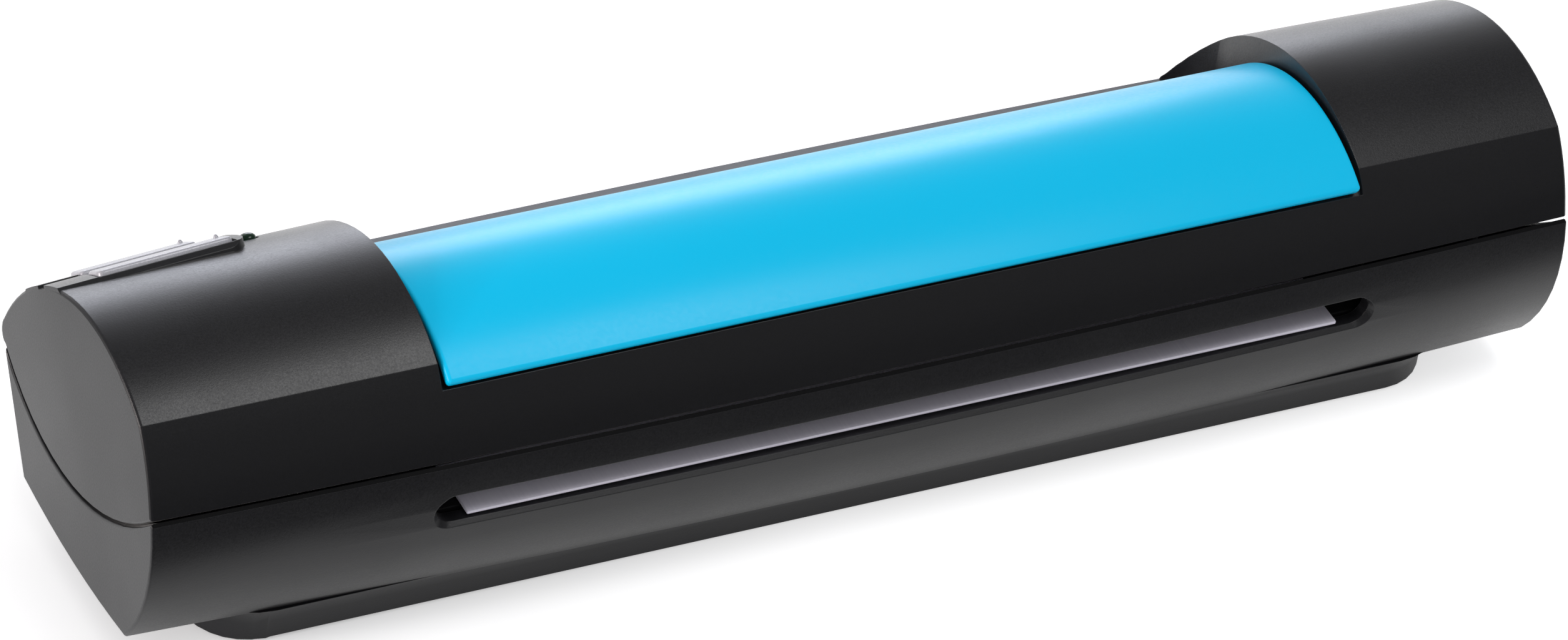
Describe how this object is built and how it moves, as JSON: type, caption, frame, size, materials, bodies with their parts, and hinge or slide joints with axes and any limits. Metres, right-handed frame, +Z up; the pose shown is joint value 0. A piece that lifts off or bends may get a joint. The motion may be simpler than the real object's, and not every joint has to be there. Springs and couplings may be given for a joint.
{
  "type": "business card scanner",
  "caption": "Sheet-fed business card scanner with a barrel-shaped black casing, a blue top cover, two bar keys and a through card path.",
  "frame": {"origin": "on the surface the four feet stand on, under the middle of the outline", "axes": "+X along the machine, away from the keys; +Y toward the operator's side, where the card goes in; +Z up"},
  "size_m": [0.16, 0.0405, 0.0352],
  "materials": {
    "black_casing": "fine spark-textured moulded plastic",
    "blue_cover": "satin moulded plastic",
    "silver_key": "silver-grey satin",
    "green_lens": "clear tinted, unlit",
    "white_plastic": "smooth",
    "white_plate": "matte white film",
    "dark_plastic": "fine matte",
    "circuit_board": "solder mask",
    "gear_plastic": "natural acetal",
    "rubber": "matte",
    "steel": "bright",
    "brass": "turned",
    "glass": "polished",
    "cable_film": "smooth film"
  },
  "bodies": {
    "main": {"upper_casing": "black_casing", "lower_casing": "black_casing", "top_panel": "blue_cover", "status_light": "green_lens", "status_lamp": "white_plastic", "switch_board": "circuit_board", "scan_switch": "dark_plastic", "mode_switch": "dark_plastic", "path_guide": "dark_plastic", "white_plate": "white_plate", "bush_left": "brass", "bush_right": "brass", "pinch_spring_left": "steel", "pinch_spring_right": "steel", "head_spring_left": "steel", "head_spring_right": "steel", "gear_plate": "steel", "motor": "steel", "idler_pin": "steel", "main_board": "circuit_board", "scanner_chip": "dark_plastic", "cable_socket": "white_plastic", "flat_cable": "cable_film", "data_shell": "steel", "data_tongue": "dark_plastic", "foot_1": "rubber", "foot_2": "rubber", "foot_3": "rubber", "foot_4": "rubber", "case_screw_1": "steel", "case_screw_2": "steel", "case_screw_3": "steel"},
    "scan_key": {"scan_key": "silver_key"},
    "mode_key": {"mode_key": "silver_key"},
    "scan_head": {"scan_housing": "dark_plastic", "scan_glass": "glass", "lens_array": "glass", "light_guide": "white_plastic", "sensor_board": "circuit_board"},
    "feed_roller": {"feed_shaft": "steel", "feed_sleeve_1": "rubber", "feed_sleeve_2": "rubber", "feed_sleeve_3": "rubber", "roller_gear": "gear_plastic"},
    "idler_gear": {"idler_gear": "gear_plastic"},
    "motor_pinion": {"motor_pinion": "brass"},
    "pinch_carrier": {"pinch_carrier": "dark_plastic"},
    "pinch_rollers": {"pinch_axle": "steel", "pinch_roller_1": "gear_plastic", "pinch_roller_2": "gear_plastic", "pinch_roller_3": "gear_plastic"}
  },
  "joints": [
    {"name": "scan_key_press", "type": "slide", "parent": "main", "child": "scan_key", "axis": [0.0576, -0.6242, -0.7791], "range_m": [0, 0.0005], "stiffness_N_per_m": 2500, "springref_m": -0.0001},
    {"name": "mode_key_press", "type": "slide", "parent": "main", "child": "mode_key", "axis": [0.0576, -0.6242, -0.7791], "range_m": [0, 0.0005], "stiffness_N_per_m": 2500, "springref_m": -0.0001},
    {"name": "scan_head_float", "type": "slide", "parent": "main", "child": "scan_head", "axis": [0, 0, 1], "range_m": [0, 0.0008], "stiffness_N_per_m": 400, "springref_m": -0.0005, "deforming": ["head_spring_left", "head_spring_right", "flat_cable"]},
    {"name": "feed_roller_turn", "type": "hinge", "parent": "main", "child": "feed_roller", "pos_m": [0, 0.0065, 0.0125], "axis": [1, 0, 0], "continuous": true},
    {"name": "idler_gear_turn", "type": "hinge", "parent": "main", "child": "idler_gear", "pos_m": [-0.057, 0.00448, 0.01957], "axis": [1, 0, 0], "continuous": true},
    {"name": "motor_pinion_turn", "type": "hinge", "parent": "main", "child": "motor_pinion", "pos_m": [-0.057, -0.0025, 0.0132], "axis": [1, 0, 0], "continuous": true},
    {"name": "pinch_carrier_float", "type": "slide", "parent": "main", "child": "pinch_carrier", "axis": [0, 0, 1], "range_m": [0, 0.0008], "stiffness_N_per_m": 400, "springref_m": -0.0005, "deforming": ["pinch_spring_left", "pinch_spring_right"]},
    {"name": "pinch_rollers_turn", "type": "hinge", "parent": "pinch_carrier", "child": "pinch_rollers", "pos_m": [0, 0.0065, 0.0188], "axis": [1, 0, 0], "continuous": true}
  ],
  "couplings": [
    {"joint": "idler_gear_turn", "follows": "feed_roller_turn", "ratio": -1.4},
    {"joint": "motor_pinion_turn", "follows": "feed_roller_turn", "ratio": 3.4222},
    {"joint": "pinch_rollers_turn", "follows": "feed_roller_turn", "ratio": -2}
  ]
}
